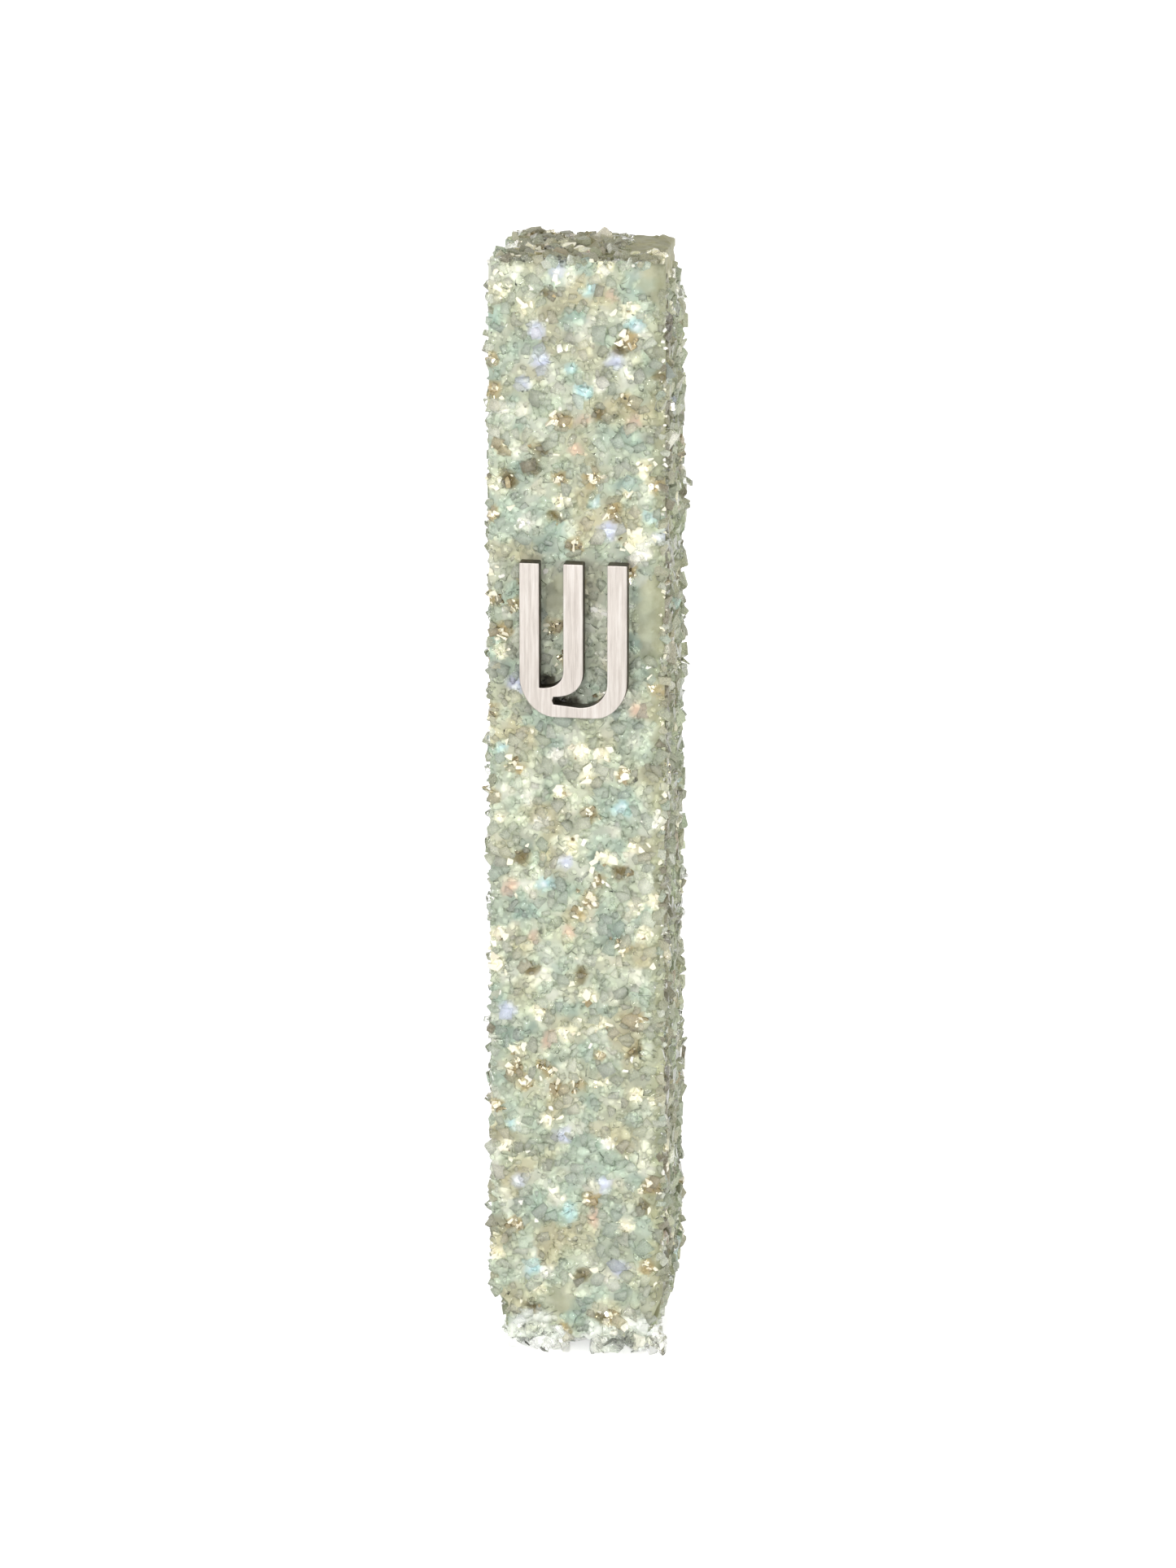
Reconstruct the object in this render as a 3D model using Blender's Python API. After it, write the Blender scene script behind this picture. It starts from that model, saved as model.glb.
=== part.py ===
"""Mezuzah case: a slim acrylic box coated with crushed glass, which slides down onto a plate on the doorpost.

Metres, +Z up. The front faces -Y. The origin is the centre of the face that meets the doorpost.
"""

import math
import random

import bmesh
import bpy
from mathutils import Vector

MM = 0.001

# Driving dimensions
WIDTH = 23.4 * MM
HEIGHT = 150.0 * MM
DEPTH = 23.5 * MM
COAT = 1.7 * MM
JOINT_LINE = 0.1 * MM
FACE_PANEL = 2.0 * MM
SIDE_PANEL = 3.0 * MM
POST_GAP = 0.8 * MM
COAT_MARGIN = 0.5 * MM

# Sliding plate and its grooves
LIP = 1.4 * MM
GROOVE_DEPTH = 1.5 * MM
FLANGE = 2.0 * MM
SLIDE_GAP = 0.2 * MM
BOSS_GAP = 0.4 * MM
SCREW_SPACING = 76.0 * MM
SCREW_HOLE_R = 1.8 * MM
SCREW_HEAD_R = 3.5 * MM

# Foam tape behind the plate
TAPE_WIDTH = 10.0 * MM
MIDDLE_TAPE = 60.0 * MM
END_TAPE = 20.0 * MM

# Scroll in its sleeve
SCROLL_LENGTH = 120.0 * MM
SCROLL_R = 5.8 * MM
SCROLL_CORE_R = 2.2 * MM
PARCHMENT = 0.42 * MM
SCROLL_PITCH = 0.9 * MM
SLEEVE_LENGTH = 124.0 * MM
SLEEVE_R = 6.5 * MM
SLEEVE_WALL = 0.4 * MM

# Letter on the front
LETTER_WIDTH = 14.4 * MM
LETTER_HEIGHT = 21.0 * MM
LETTER_THICKNESS = 2.1 * MM
LETTER_CENTRE_Z = 24.7 * MM
LETTER_BAR = 2.66 * MM
LETTER_EDGE = 0.12 * MM
PAD_THICKNESS = 0.3 * MM
PAD_INSET = 0.5 * MM

# Facets of the crushed-glass layer
FACET = 4.4 * MM
FACET_RELIEF = 0.7 * MM
FACET_WANDER = 0.22

CURVE_STEPS = 14
ROUND_STEPS = 32
SCROLL_STEPS = 26

# Derived levels, from the outside in
HALF_W = WIDTH / 2
HALF_H = HEIGHT / 2
COAT_BACK_X = HALF_W - COAT
CORE_X = COAT_BACK_X - JOINT_LINE
INNER_X = CORE_X - SIDE_PANEL
COAT_BACK_Z = HALF_H - COAT
CORE_Z = COAT_BACK_Z - JOINT_LINE
INNER_Z = CORE_Z - FACE_PANEL
FRONT_Y = -DEPTH
COAT_BACK_Y = FRONT_Y + COAT
CORE_Y = COAT_BACK_Y + JOINT_LINE
PANEL_BACK_Y = CORE_Y + FACE_PANEL
SIDE_FRONT_Y = PANEL_BACK_Y + JOINT_LINE
REAR_Y = -POST_GAP
GROOVE_REAR_Y = REAR_Y - LIP
GROOVE_FRONT_Y = GROOVE_REAR_Y - FLANGE - 2 * SLIDE_GAP
GROOVE_X = INNER_X + GROOVE_DEPTH
BOTTOM_REAR_Y = GROOVE_FRONT_Y - 2 * SLIDE_GAP
FLANGE_REAR_Y = GROOVE_REAR_Y - SLIDE_GAP
FLANGE_FRONT_Y = FLANGE_REAR_Y - FLANGE
PLATE_TOP_Z = INNER_Z - SLIDE_GAP
PLATE_BOTTOM_Z = -CORE_Z


def clear_scene():
    for old in list(bpy.data.objects):
        bpy.data.objects.remove(old, do_unlink=True)


def material(name, colour, roughness, metallic=0.0, alpha=1.0):
    made = bpy.data.materials.new(name)
    made.use_nodes = True
    shader = made.node_tree.nodes["Principled BSDF"]
    shader.inputs["Base Color"].default_value = (*colour, 1.0)
    shader.inputs["Roughness"].default_value = roughness
    shader.inputs["Metallic"].default_value = metallic
    shader.inputs["Alpha"].default_value = alpha
    made.diffuse_color = (*colour, alpha)
    return made


def empty(name, location):
    made = bpy.data.objects.new(name, None)
    made.location = location
    bpy.context.collection.objects.link(made)
    return made


def add_object(name, mesh_builder, finish, parent, smooth_angle=None):
    """Links a new object made from a bmesh that is built round the parent's own origin."""
    mesh = bpy.data.meshes.new(name)
    bmesh.ops.recalc_face_normals(mesh_builder, faces=mesh_builder.faces)
    mesh_builder.to_mesh(mesh)
    mesh_builder.free()
    mesh.materials.append(finish)
    if smooth_angle is not None:
        mesh.shade_smooth()
        mesh.set_sharp_from_angle(angle=smooth_angle)
    made = bpy.data.objects.new(name, mesh)
    bpy.context.collection.objects.link(made)
    made.parent = parent
    return made


def box(name, low, high, finish, parent):
    """An axis-aligned block between two corners."""
    builder = bmesh.new()
    bmesh.ops.create_cube(builder, size=1.0)
    low, high = Vector(low), Vector(high)
    for vert in builder.verts:
        vert.co = Vector(
            low[axis] + (vert.co[axis] + 0.5) * (high[axis] - low[axis]) for axis in range(3)
        )
    return add_object(name, builder, finish, parent)


def prism(outline, along):
    """A bmesh with the closed outline as one end, extruded by the vector."""
    builder = bmesh.new()
    face = builder.faces.new([builder.verts.new(point) for point in outline])
    pushed = bmesh.ops.extrude_face_region(builder, geom=[face])
    moved = [item for item in pushed["geom"] if isinstance(item, bmesh.types.BMVert)]
    bmesh.ops.translate(builder, verts=moved, vec=along)
    return builder


def bevel_edges(target, width, segments=2):
    modifier = target.modifiers.new("edge_round", "BEVEL")
    modifier.width = width
    modifier.segments = segments
    modifier.limit_method = "ANGLE"
    modifier.angle_limit = math.radians(50)


def cut(target, cutter):
    modifier = target.modifiers.new("cut_" + cutter.name, "BOOLEAN")
    modifier.operation = "DIFFERENCE"
    modifier.solver = "EXACT"
    modifier.object = cutter
    cutter.hide_render = True
    cutter.display_type = "WIRE"


def glass_coat(name, corner, across, along, outward, finish, parent, seed):
    """A layer of crushed glass: flat behind, with an irregular faceted face.

    corner is the low corner of the back, and across, along and outward are the layer's three edges.
    """
    chance = random.Random(seed)
    corner, across, along, outward = map(Vector, (corner, across, along, outward))
    columns = max(3, round(across.length / FACET))
    rows = max(3, round(along.length / FACET))
    relief = FACET_RELIEF / outward.length
    builder = bmesh.new()
    back, front = [], []
    for row in range(rows + 1):
        for column in range(columns + 1):
            u, v = column / columns, row / rows
            inside = 0 < column < columns and 0 < row < rows
            wander = FACET_WANDER if inside else 0.0
            shift_u = chance.uniform(-wander, wander) / columns
            shift_v = chance.uniform(-wander, wander) / rows
            height = 1.0 - relief * chance.random() if (row + column) % 3 else 1.0
            place = corner + across * (u + shift_u) + along * (v + shift_v)
            back.append(builder.verts.new(corner + across * u + along * v))
            front.append(builder.verts.new(place + outward * height))
    stride = columns + 1

    def quad(side, row, column):
        first = row * stride + column
        return [side[first], side[first + 1], side[first + stride + 1], side[first + stride]]

    for row in range(rows):
        for column in range(columns):
            builder.faces.new(quad(back, row, column))
            a, b, c, d = quad(front, row, column)
            builder.faces.new([a, b, c])
            builder.faces.new([a, c, d])
    rim = [column for column in range(columns)]
    rim += [row * stride + columns for row in range(rows)]
    rim += [rows * stride + column for column in range(columns, 0, -1)]
    rim += [row * stride for row in range(rows, 0, -1)]
    for first, second in zip(rim, rim[1:] + rim[:1]):
        builder.faces.new([back[first], back[second], front[second], front[first]])
    return add_object(name, builder, finish, parent)


def side_panel(name, sign, finish, parent):
    """A side wall with the groove that the plate's flange runs in. sign is +1 for +X."""
    profile = [
        (INNER_X, SIDE_FRONT_Y),
        (CORE_X, SIDE_FRONT_Y),
        (CORE_X, REAR_Y),
        (INNER_X, REAR_Y),
        (INNER_X, GROOVE_REAR_Y),
        (GROOVE_X, GROOVE_REAR_Y),
        (GROOVE_X, GROOVE_FRONT_Y),
        (INNER_X, GROOVE_FRONT_Y),
    ]
    low = -CORE_Z
    high = INNER_Z - JOINT_LINE
    builder = prism([(sign * x, y, low) for x, y in profile], (0, 0, high - low))
    return add_object(name, builder, finish, parent)


def acrylic_box(finish, parent):
    box("front_panel", (-CORE_X, CORE_Y, -CORE_Z), (CORE_X, PANEL_BACK_Y, CORE_Z), finish, parent)
    side_panel("left_panel", -1, finish, parent)
    side_panel("right_panel", 1, finish, parent)
    box("top_panel", (-CORE_X, SIDE_FRONT_Y, INNER_Z), (CORE_X, REAR_Y, CORE_Z), finish, parent)
    fitted_x = INNER_X - JOINT_LINE
    box(
        "bottom_panel",
        (-fitted_x, SIDE_FRONT_Y, -CORE_Z),
        (fitted_x, BOTTOM_REAR_Y, -INNER_Z),
        finish,
        parent,
    )


def glass_coats(finish, dark_finish, parent):
    """Five layers: the front one covers the front edges of the others."""
    glass_coat(
        "front_glass_coat",
        (-HALF_W, COAT_BACK_Y, -HALF_H),
        (WIDTH, 0, 0),
        (0, 0, HEIGHT),
        (0, -COAT, 0),
        finish,
        parent,
        seed=11,
    )
    rear_y = REAR_Y - COAT_MARGIN
    run = CORE_Y - rear_y
    for name, sign, seed in (("left_glass_coat", -1, 12), ("right_glass_coat", 1, 13)):
        glass_coat(
            name,
            (sign * COAT_BACK_X, rear_y, -HALF_H),
            (0, run, 0),
            (0, 0, HEIGHT),
            (sign * COAT, 0, 0),
            dark_finish,
            parent,
            seed,
        )
    for name, sign, end_y, seed in (
        ("top_glass_coat", 1, rear_y, 14),
        ("bottom_glass_coat", -1, BOTTOM_REAR_Y, 15),
    ):
        glass_coat(
            name,
            (-CORE_X, end_y, sign * COAT_BACK_Z),
            (2 * CORE_X, 0, 0),
            (0, CORE_Y - end_y, 0),
            (0, 0, sign * COAT),
            dark_finish,
            parent,
            seed,
        )


def sweep(start, start_pull, end_pull, end):
    """Points of a cubic curve after its start, up to its end."""
    points = []
    for step in range(1, CURVE_STEPS + 1):
        t = step / CURVE_STEPS
        s = 1 - t
        points.append(
            tuple(
                s**3 * start[k] + 3 * s * s * t * start_pull[k] + 3 * s * t * t * end_pull[k] + t**3 * end[k]
                for k in (0, 1)
            )
        )
    return points


def letter_outline():
    """The letter shin: three upright bars, the middle one hooked into the left one, on a curved base.

    In metres, x across and z up, from the centre of the letter's box, and anticlockwise.
    """
    right = LETTER_WIDTH / 2
    top = LETTER_HEIGHT / 2
    foot = -top
    bar = LETTER_BAR
    mid = bar / 2
    base = 1.45 * MM
    hook_in = foot + 4.0 * MM
    hook_out = foot + 2.8 * MM
    slot_x = -2.65 * MM
    bend = 5.5 * MM
    right_bend = 4.8 * MM
    sweep_x = 4.3 * MM
    points = [(-right, top), (-right, foot + bend)]
    points += sweep(points[-1], (-right, foot + 2.9 * MM), (-5.2 * MM, foot), (-2.4 * MM, foot))
    points.append((right - sweep_x, foot))
    points += sweep(
        points[-1], (right - 1.9 * MM, foot), (right, foot + 2.6 * MM), (right, foot + right_bend)
    )
    points += [(right, top), (right - bar, top), (right - bar, foot + right_bend)]
    points += sweep(
        points[-1],
        (right - bar, foot + 3.2 * MM),
        (3.3 * MM, foot + base),
        (0.8 * MM, foot + base),
    )
    points += [(slot_x, foot + 1.8 * MM), (slot_x - 0.15 * MM, foot + 2.3 * MM), (slot_x, hook_out)]
    points += sweep(points[-1], (-0.4 * MM, foot + 2.8 * MM), (mid, foot + 3.9 * MM), (mid, foot + 6.2 * MM))
    points += [(mid, top), (-mid, top), (-mid, foot + 6.3 * MM)]
    points += sweep(
        points[-1], (-mid, foot + 4.9 * MM), (-2.5 * MM, hook_in), (bar - right + 0.4 * MM, hook_in)
    )
    points += [(bar - right, hook_in), (bar - right, top)]
    return points


def inset(outline, distance):
    """The outline moved inwards, for one that runs anticlockwise."""
    moved = []
    count = len(outline)
    for index in range(count):
        before = Vector(outline[index - 1])
        here = Vector(outline[index])
        after = Vector(outline[(index + 1) % count])
        arriving = (here - before).normalized()
        leaving = (after - here).normalized()
        normal = Vector((-arriving.y - leaving.y, arriving.x + leaving.x)).normalized()
        miter = max(0.5, normal.dot(Vector((-arriving.y, arriving.x))))
        moved.append(tuple(here + normal * (distance / miter)))
    return moved


def letter(steel, adhesive, parent):
    pad_back = FRONT_Y - JOINT_LINE
    letter_back = pad_back - PAD_THICKNESS - JOINT_LINE
    outline = letter_outline()

    def placed(points, y):
        return [(x, y, LETTER_CENTRE_Z + z) for x, z in points]

    pad = prism(placed(inset(outline, PAD_INSET), pad_back), (0, -PAD_THICKNESS, 0))
    add_object("letter_pad", pad, adhesive, parent)
    body = prism(placed(outline, letter_back), (0, -LETTER_THICKNESS, 0))
    shin = add_object("shin_letter", body, steel, parent, smooth_angle=math.radians(30))
    bevel_edges(shin, LETTER_EDGE, segments=2)


def tube(outer_r, inner_r, length, steps):
    """A bmesh of an open-ended tube round +Z, its foot at the origin."""
    builder = bmesh.new()
    rings = []
    for radius, z in ((inner_r, 0), (outer_r, 0), (outer_r, length), (inner_r, length)):
        turn = [2 * math.pi * step / steps for step in range(steps)]
        rings.append([builder.verts.new((radius * math.cos(a), radius * math.sin(a), z)) for a in turn])
    for ring, following in zip(rings, rings[1:] + rings[:1]):
        for step in range(steps):
            after = (step + 1) % steps
            builder.faces.new([ring[step], ring[after], following[after], following[step]])
    return builder


def rolled_sheet(length):
    """A bmesh of one sheet rolled into a spiral round +Z, its foot at the origin."""
    turns = (SCROLL_R - PARCHMENT - SCROLL_CORE_R) / SCROLL_PITCH
    count = round(turns * SCROLL_STEPS)
    inner, outer = [], []
    for step in range(count + 1):
        angle = 2 * math.pi * turns * step / count
        radius = SCROLL_CORE_R + SCROLL_PITCH * turns * step / count
        direction = Vector((math.cos(angle), math.sin(angle), 0))
        inner.append(direction * radius)
        outer.append(direction * (radius + PARCHMENT))
    builder = bmesh.new()
    rows = []
    for z in (0, length):
        for side in (inner, outer):
            rows.append([builder.verts.new(point + Vector((0, 0, z))) for point in side])
    foot_in, foot_out, head_in, head_out = rows
    walls = ((foot_in, foot_out), (foot_out, head_out), (head_out, head_in), (head_in, foot_in))
    for first, second in walls:
        for step in range(count):
            builder.faces.new([first[step], first[step + 1], second[step + 1], second[step]])
    for end in (0, count):
        builder.faces.new([foot_in[end], foot_out[end], head_out[end], head_in[end]])
    return builder


def scroll_in_sleeve(parchment, film, parent):
    centre_y = (FLANGE_FRONT_Y + PANEL_BACK_Y) / 2
    foot_z = -INNER_Z + SLIDE_GAP
    sleeve = tube(SLEEVE_R, SLEEVE_R - SLEEVE_WALL, SLEEVE_LENGTH, ROUND_STEPS)
    bmesh.ops.translate(sleeve, verts=sleeve.verts, vec=(0, centre_y, foot_z))
    add_object("scroll_sleeve", sleeve, film, parent, smooth_angle=math.radians(40))
    margin = (SLEEVE_LENGTH - SCROLL_LENGTH) / 2
    sheet = rolled_sheet(SCROLL_LENGTH)
    bmesh.ops.translate(sheet, verts=sheet.verts, vec=(0, centre_y, foot_z + margin))
    add_object("scroll", sheet, parchment, parent, smooth_angle=math.radians(40))


def screw_cutter(name, z, parent):
    """A countersunk hole through the plate, its wide end towards the case."""
    overshoot = 1.0 * MM
    cone = SCREW_HEAD_R - SCREW_HOLE_R
    rings = (
        (FLANGE_FRONT_Y - overshoot, SCREW_HEAD_R),
        (FLANGE_FRONT_Y, SCREW_HEAD_R),
        (FLANGE_FRONT_Y + cone, SCREW_HOLE_R),
        (overshoot, SCREW_HOLE_R),
    )
    builder = bmesh.new()
    turn = [2 * math.pi * step / ROUND_STEPS for step in range(ROUND_STEPS)]
    loops = [
        [builder.verts.new((radius * math.cos(a), y, z + radius * math.sin(a))) for a in turn]
        for y, radius in rings
    ]
    for loop, following in zip(loops, loops[1:]):
        for step in range(ROUND_STEPS):
            after = (step + 1) % ROUND_STEPS
            builder.faces.new([loop[step], loop[after], following[after], following[step]])
    builder.faces.new(loops[0])
    builder.faces.new(loops[-1])
    return add_object(name, builder, None, parent)


def back_plate(finish, parent):
    """T-section: a wide flange in the grooves, and a boss that passes between their rear lips."""
    flange_x = GROOVE_X - SLIDE_GAP
    boss_x = INNER_X - BOSS_GAP
    profile = [
        (-boss_x, REAR_Y),
        (boss_x, REAR_Y),
        (boss_x, FLANGE_REAR_Y),
        (flange_x, FLANGE_REAR_Y),
        (flange_x, FLANGE_FRONT_Y),
        (-flange_x, FLANGE_FRONT_Y),
        (-flange_x, FLANGE_REAR_Y),
        (-boss_x, FLANGE_REAR_Y),
    ]
    height = PLATE_TOP_Z - PLATE_BOTTOM_Z
    builder = prism([(x, y, PLATE_BOTTOM_Z) for x, y in profile], (0, 0, height))
    plate = add_object("back_plate", builder, finish, parent)
    cut(plate, screw_cutter("upper_screw_hole", SCREW_SPACING / 2, parent))
    cut(plate, screw_cutter("lower_screw_hole", -SCREW_SPACING / 2, parent))


def tape_pads(finish, parent):
    """Foam tape between and beyond the two screw holes."""
    end_centre = SCREW_SPACING / 2 + (SCREW_SPACING - MIDDLE_TAPE) / 2 + END_TAPE / 2
    for name, centre, length in (
        ("upper_tape_pad", end_centre, END_TAPE),
        ("middle_tape_pad", 0.0, MIDDLE_TAPE),
        ("lower_tape_pad", -end_centre, END_TAPE),
    ):
        box(
            name,
            (-TAPE_WIDTH / 2, REAR_Y + JOINT_LINE, centre - length / 2),
            (TAPE_WIDTH / 2, 0, centre + length / 2),
            finish,
            parent,
        )


def main():
    clear_scene()
    acrylic = material("acrylic", (0.62, 0.68, 0.55), 0.12)
    glass = material("crushed_glass", (0.45, 0.53, 0.42), 0.15)
    shaded_glass = material("crushed_glass_shaded", (0.32, 0.34, 0.25), 0.2)
    steel = material("brushed_steel", (0.82, 0.79, 0.77), 0.32, metallic=1.0)
    adhesive = material("adhesive", (0.25, 0.25, 0.24), 0.7)
    plate = material("plate_acrylic", (0.80, 0.81, 0.79), 0.25)
    foam = material("foam_tape", (0.86, 0.86, 0.84), 0.9)
    parchment = material("parchment", (0.78, 0.69, 0.50), 0.75)
    film = material("clear_film", (0.85, 0.88, 0.88), 0.08, alpha=0.4)

    post_side = empty("post_side", (0, 0, 0))
    case = empty("case_slide", (0, 0, 0))
    case.parent = post_side

    back_plate(plate, post_side)
    tape_pads(foam, post_side)
    acrylic_box(acrylic, case)
    glass_coats(glass, shaded_glass, case)
    letter(steel, adhesive, case)
    scroll_in_sleeve(parchment, film, case)


main()
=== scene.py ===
"""Looks of the crushed-glass mezuzah case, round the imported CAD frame. Metres, +Z up, front towards -Y."""

import math
import random

import bmesh
import bpy
import numpy as np
from mathutils import Matrix, Vector, kdtree, noise


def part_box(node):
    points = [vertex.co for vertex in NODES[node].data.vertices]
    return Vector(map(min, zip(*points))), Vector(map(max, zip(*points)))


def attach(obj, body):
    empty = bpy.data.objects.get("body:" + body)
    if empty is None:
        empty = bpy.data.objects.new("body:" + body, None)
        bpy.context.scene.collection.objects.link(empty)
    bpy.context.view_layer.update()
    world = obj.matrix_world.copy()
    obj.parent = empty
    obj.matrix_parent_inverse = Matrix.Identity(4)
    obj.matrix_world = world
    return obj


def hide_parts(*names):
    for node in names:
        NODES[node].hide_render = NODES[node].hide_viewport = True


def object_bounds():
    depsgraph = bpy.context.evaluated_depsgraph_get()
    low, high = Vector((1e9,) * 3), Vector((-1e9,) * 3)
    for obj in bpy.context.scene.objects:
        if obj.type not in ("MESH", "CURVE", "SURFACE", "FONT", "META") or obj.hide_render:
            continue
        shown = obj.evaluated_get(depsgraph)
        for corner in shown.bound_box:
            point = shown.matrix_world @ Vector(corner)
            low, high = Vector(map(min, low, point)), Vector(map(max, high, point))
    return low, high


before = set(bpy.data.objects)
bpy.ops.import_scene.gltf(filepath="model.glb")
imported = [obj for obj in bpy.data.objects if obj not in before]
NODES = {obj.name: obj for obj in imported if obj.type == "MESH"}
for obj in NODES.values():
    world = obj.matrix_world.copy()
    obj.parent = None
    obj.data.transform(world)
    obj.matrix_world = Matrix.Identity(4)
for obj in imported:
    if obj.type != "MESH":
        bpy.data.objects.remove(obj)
CAD_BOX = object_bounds()
MM = 0.001

# Blender's vector noise starts from the clock unless it is seeded
noise.seed_set(5)

# Camera: the photograph's angle on the case
CAMERA_AZIMUTH = 7.9
CAMERA_ELEVATION = 15.8
CAMERA_DISTANCE = 1.0
CAMERA_TARGET = Vector((-0.1, -11.0, 0.9)) * MM
CAMERA_LENS = 170.0
SENSOR = 36.0


def make_camera():
    azimuth, elevation = math.radians(CAMERA_AZIMUTH), math.radians(CAMERA_ELEVATION)
    back = Vector(
        (
            math.sin(azimuth) * math.cos(elevation),
            -math.cos(azimuth) * math.cos(elevation),
            math.sin(elevation),
        )
    )
    data = bpy.data.cameras.new("camera")
    data.lens = CAMERA_LENS
    data.sensor_width = SENSOR
    data.clip_start = 0.05
    data.clip_end = 20.0
    camera = bpy.data.objects.new("camera", data)
    camera.location = CAMERA_TARGET + back * CAMERA_DISTANCE
    camera.rotation_mode = "QUATERNION"
    camera.rotation_quaternion = (-back).to_track_quat("-Z", "Y")
    bpy.context.scene.collection.objects.link(camera)
    bpy.context.scene.camera = camera


make_camera()


# ---------------------------------------------------------------- material helpers


def srgb(*levels):
    """A linear colour from its 0 to 255 screen levels."""
    return tuple(
        level / 255 / 12.92 if level <= 10 else ((level / 255 + 0.055) / 1.055) ** 2.4 for level in levels
    )


class Nodes:
    """A new material's node tree, with short calls for the nodes used here."""

    def __init__(self, name, **sockets):
        self.material = bpy.data.materials.new(name)
        self.material.use_nodes = True
        self.tree = self.material.node_tree
        self.shader = self.tree.nodes["Principled BSDF"]
        for socket, value in sockets.items():
            self.shader.inputs[socket.replace("_", " ")].default_value = value

    def add(self, kind, **settings):
        node = self.tree.nodes.new(kind)
        for key, value in settings.items():
            setattr(node, key, value)
        return node

    def link(self, output, target):
        self.tree.links.new(output, target)

    def position(self):
        return self.add("ShaderNodeTexCoord").outputs["Object"]

    def tint(self):
        """The colour stored on the mesh."""
        return self.add("ShaderNodeAttribute", attribute_name="tint").outputs["Color"]

    def noise(self, scale, detail=2.0, roughness=0.5, stretch=None):
        vector = self.position()
        if stretch:
            mapping = self.add("ShaderNodeMapping")
            mapping.inputs["Scale"].default_value = stretch
            self.link(vector, mapping.inputs["Vector"])
            vector = mapping.outputs["Vector"]
        node = self.add("ShaderNodeTexNoise")
        node.inputs["Scale"].default_value = scale
        node.inputs["Detail"].default_value = detail
        node.inputs["Roughness"].default_value = roughness
        self.link(vector, node.inputs["Vector"])
        return node.outputs["Fac"]

    def ramp(self, factor, stops):
        node = self.add("ShaderNodeValToRGB")
        elements = node.color_ramp.elements
        while len(elements) < len(stops):
            elements.new(0.5)
        for element, (place, colour) in zip(elements, stops):
            element.position = place
            element.color = (*colour, 1.0)
        self.link(factor, node.inputs["Fac"])
        return node.outputs["Color"]

    def mix(self, factor, first, second):
        """first and second are outputs or colours; factor is an output or a number."""
        node = self.add("ShaderNodeMix", data_type="RGBA")
        for socket, value in (("Factor", factor), ("A", first), ("B", second)):
            target = [s for s in node.inputs if s.name == socket and s.enabled][0]
            if isinstance(value, bpy.types.NodeSocket):
                self.link(value, target)
            else:
                target.default_value = (*value, 1.0) if isinstance(value, tuple) else value
        return [s for s in node.outputs if s.enabled][0]

    def spread(self, factor, low, high):
        """A number from low to high as the factor goes from 0 to 1."""
        node = self.add("ShaderNodeMapRange")
        node.inputs["To Min"].default_value = low
        node.inputs["To Max"].default_value = high
        self.link(factor, node.inputs["Value"])
        return node.outputs["Result"]

    def bump(self, height, strength, distance):
        node = self.add("ShaderNodeBump")
        node.inputs["Strength"].default_value = strength
        node.inputs["Distance"].default_value = distance
        self.link(height, node.inputs["Height"])
        self.link(node.outputs["Normal"], self.shader.inputs["Normal"])

    def colour(self, output):
        self.link(output, self.shader.inputs["Base Color"])

    def roughness(self, output):
        self.link(output, self.shader.inputs["Roughness"])


def even_stops(*colours, low=0.0, high=1.0):
    gap = (high - low) / (len(colours) - 1)
    return [(low + gap * index, colour) for index, colour in enumerate(colours)]


def pass_lamps(made, through):
    """Let light from the lamps go straight through, tinted, so that what lies under the glass stays lit."""
    clear = made.add("ShaderNodeBsdfTransparent")
    clear.inputs["Color"].default_value = (*through, 1.0)
    swap = made.add("ShaderNodeMixShader")
    made.link(made.add("ShaderNodeLightPath").outputs["Is Shadow Ray"], swap.inputs["Fac"])
    made.link(made.shader.outputs["BSDF"], swap.inputs[1])
    made.link(clear.outputs["BSDF"], swap.inputs[2])
    made.link(swap.outputs["Shader"], made.tree.nodes["Material Output"].inputs["Surface"])


def chip_material(name, fade, rough=(0.03, 0.16), ripple=0.15, through=None, **sockets):
    """Glass chips in the colour each was given, with cloudy flaws and a rippled break."""
    made = Nodes(name, **sockets)
    own = made.tint()
    pale = made.mix(fade, own, (1.0, 1.0, 1.0))
    flaw = made.noise(1100.0, 3.0, 0.6)
    made.colour(made.mix(made.spread(flaw, -0.15, 0.45), pale, srgb(232, 236, 222)))
    made.roughness(made.spread(made.noise(2600.0), *rough))
    made.bump(made.noise(1500.0, 2.0), ripple, 0.0002)
    if through:
        pass_lamps(made, through)
    return made.material


def clear_glass(name, ior):
    return chip_material(
        name,
        0.8,
        rough=(0.1, 0.28),
        ripple=0.1,
        through=(0.94, 0.95, 0.93),
        IOR=ior,
        Transmission_Weight=1.0,
        Coat_Weight=0.8,
        Coat_Roughness=0.03,
    )


def chip_materials():
    """Glass wetted by the resin bends light less than dry glass does."""
    return {
        "clear": clear_glass("clear_glass", 1.32),
        "wet": clear_glass("wet_glass", 1.18),
        "thin": clear_glass("thin_glass", 1.1),
        "milky": chip_material(
            "milky_glass",
            0.1,
            rough=(0.15, 0.4),
            through=(0.75, 0.77, 0.73),
            IOR=1.3,
            Transmission_Weight=0.35,
        ),
        "foil": chip_material("gold_foil", 0.0, ripple=0.4, Metallic=0.85),
        # white chips whose colour is a painted glint
        "pearl": chip_material(
            "painted_glint_glass",
            0.1,
            ripple=0.3,
            IOR=1.6,
            Coat_Weight=0.6,
            Coat_Roughness=0.04,
        ),
    }


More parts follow.
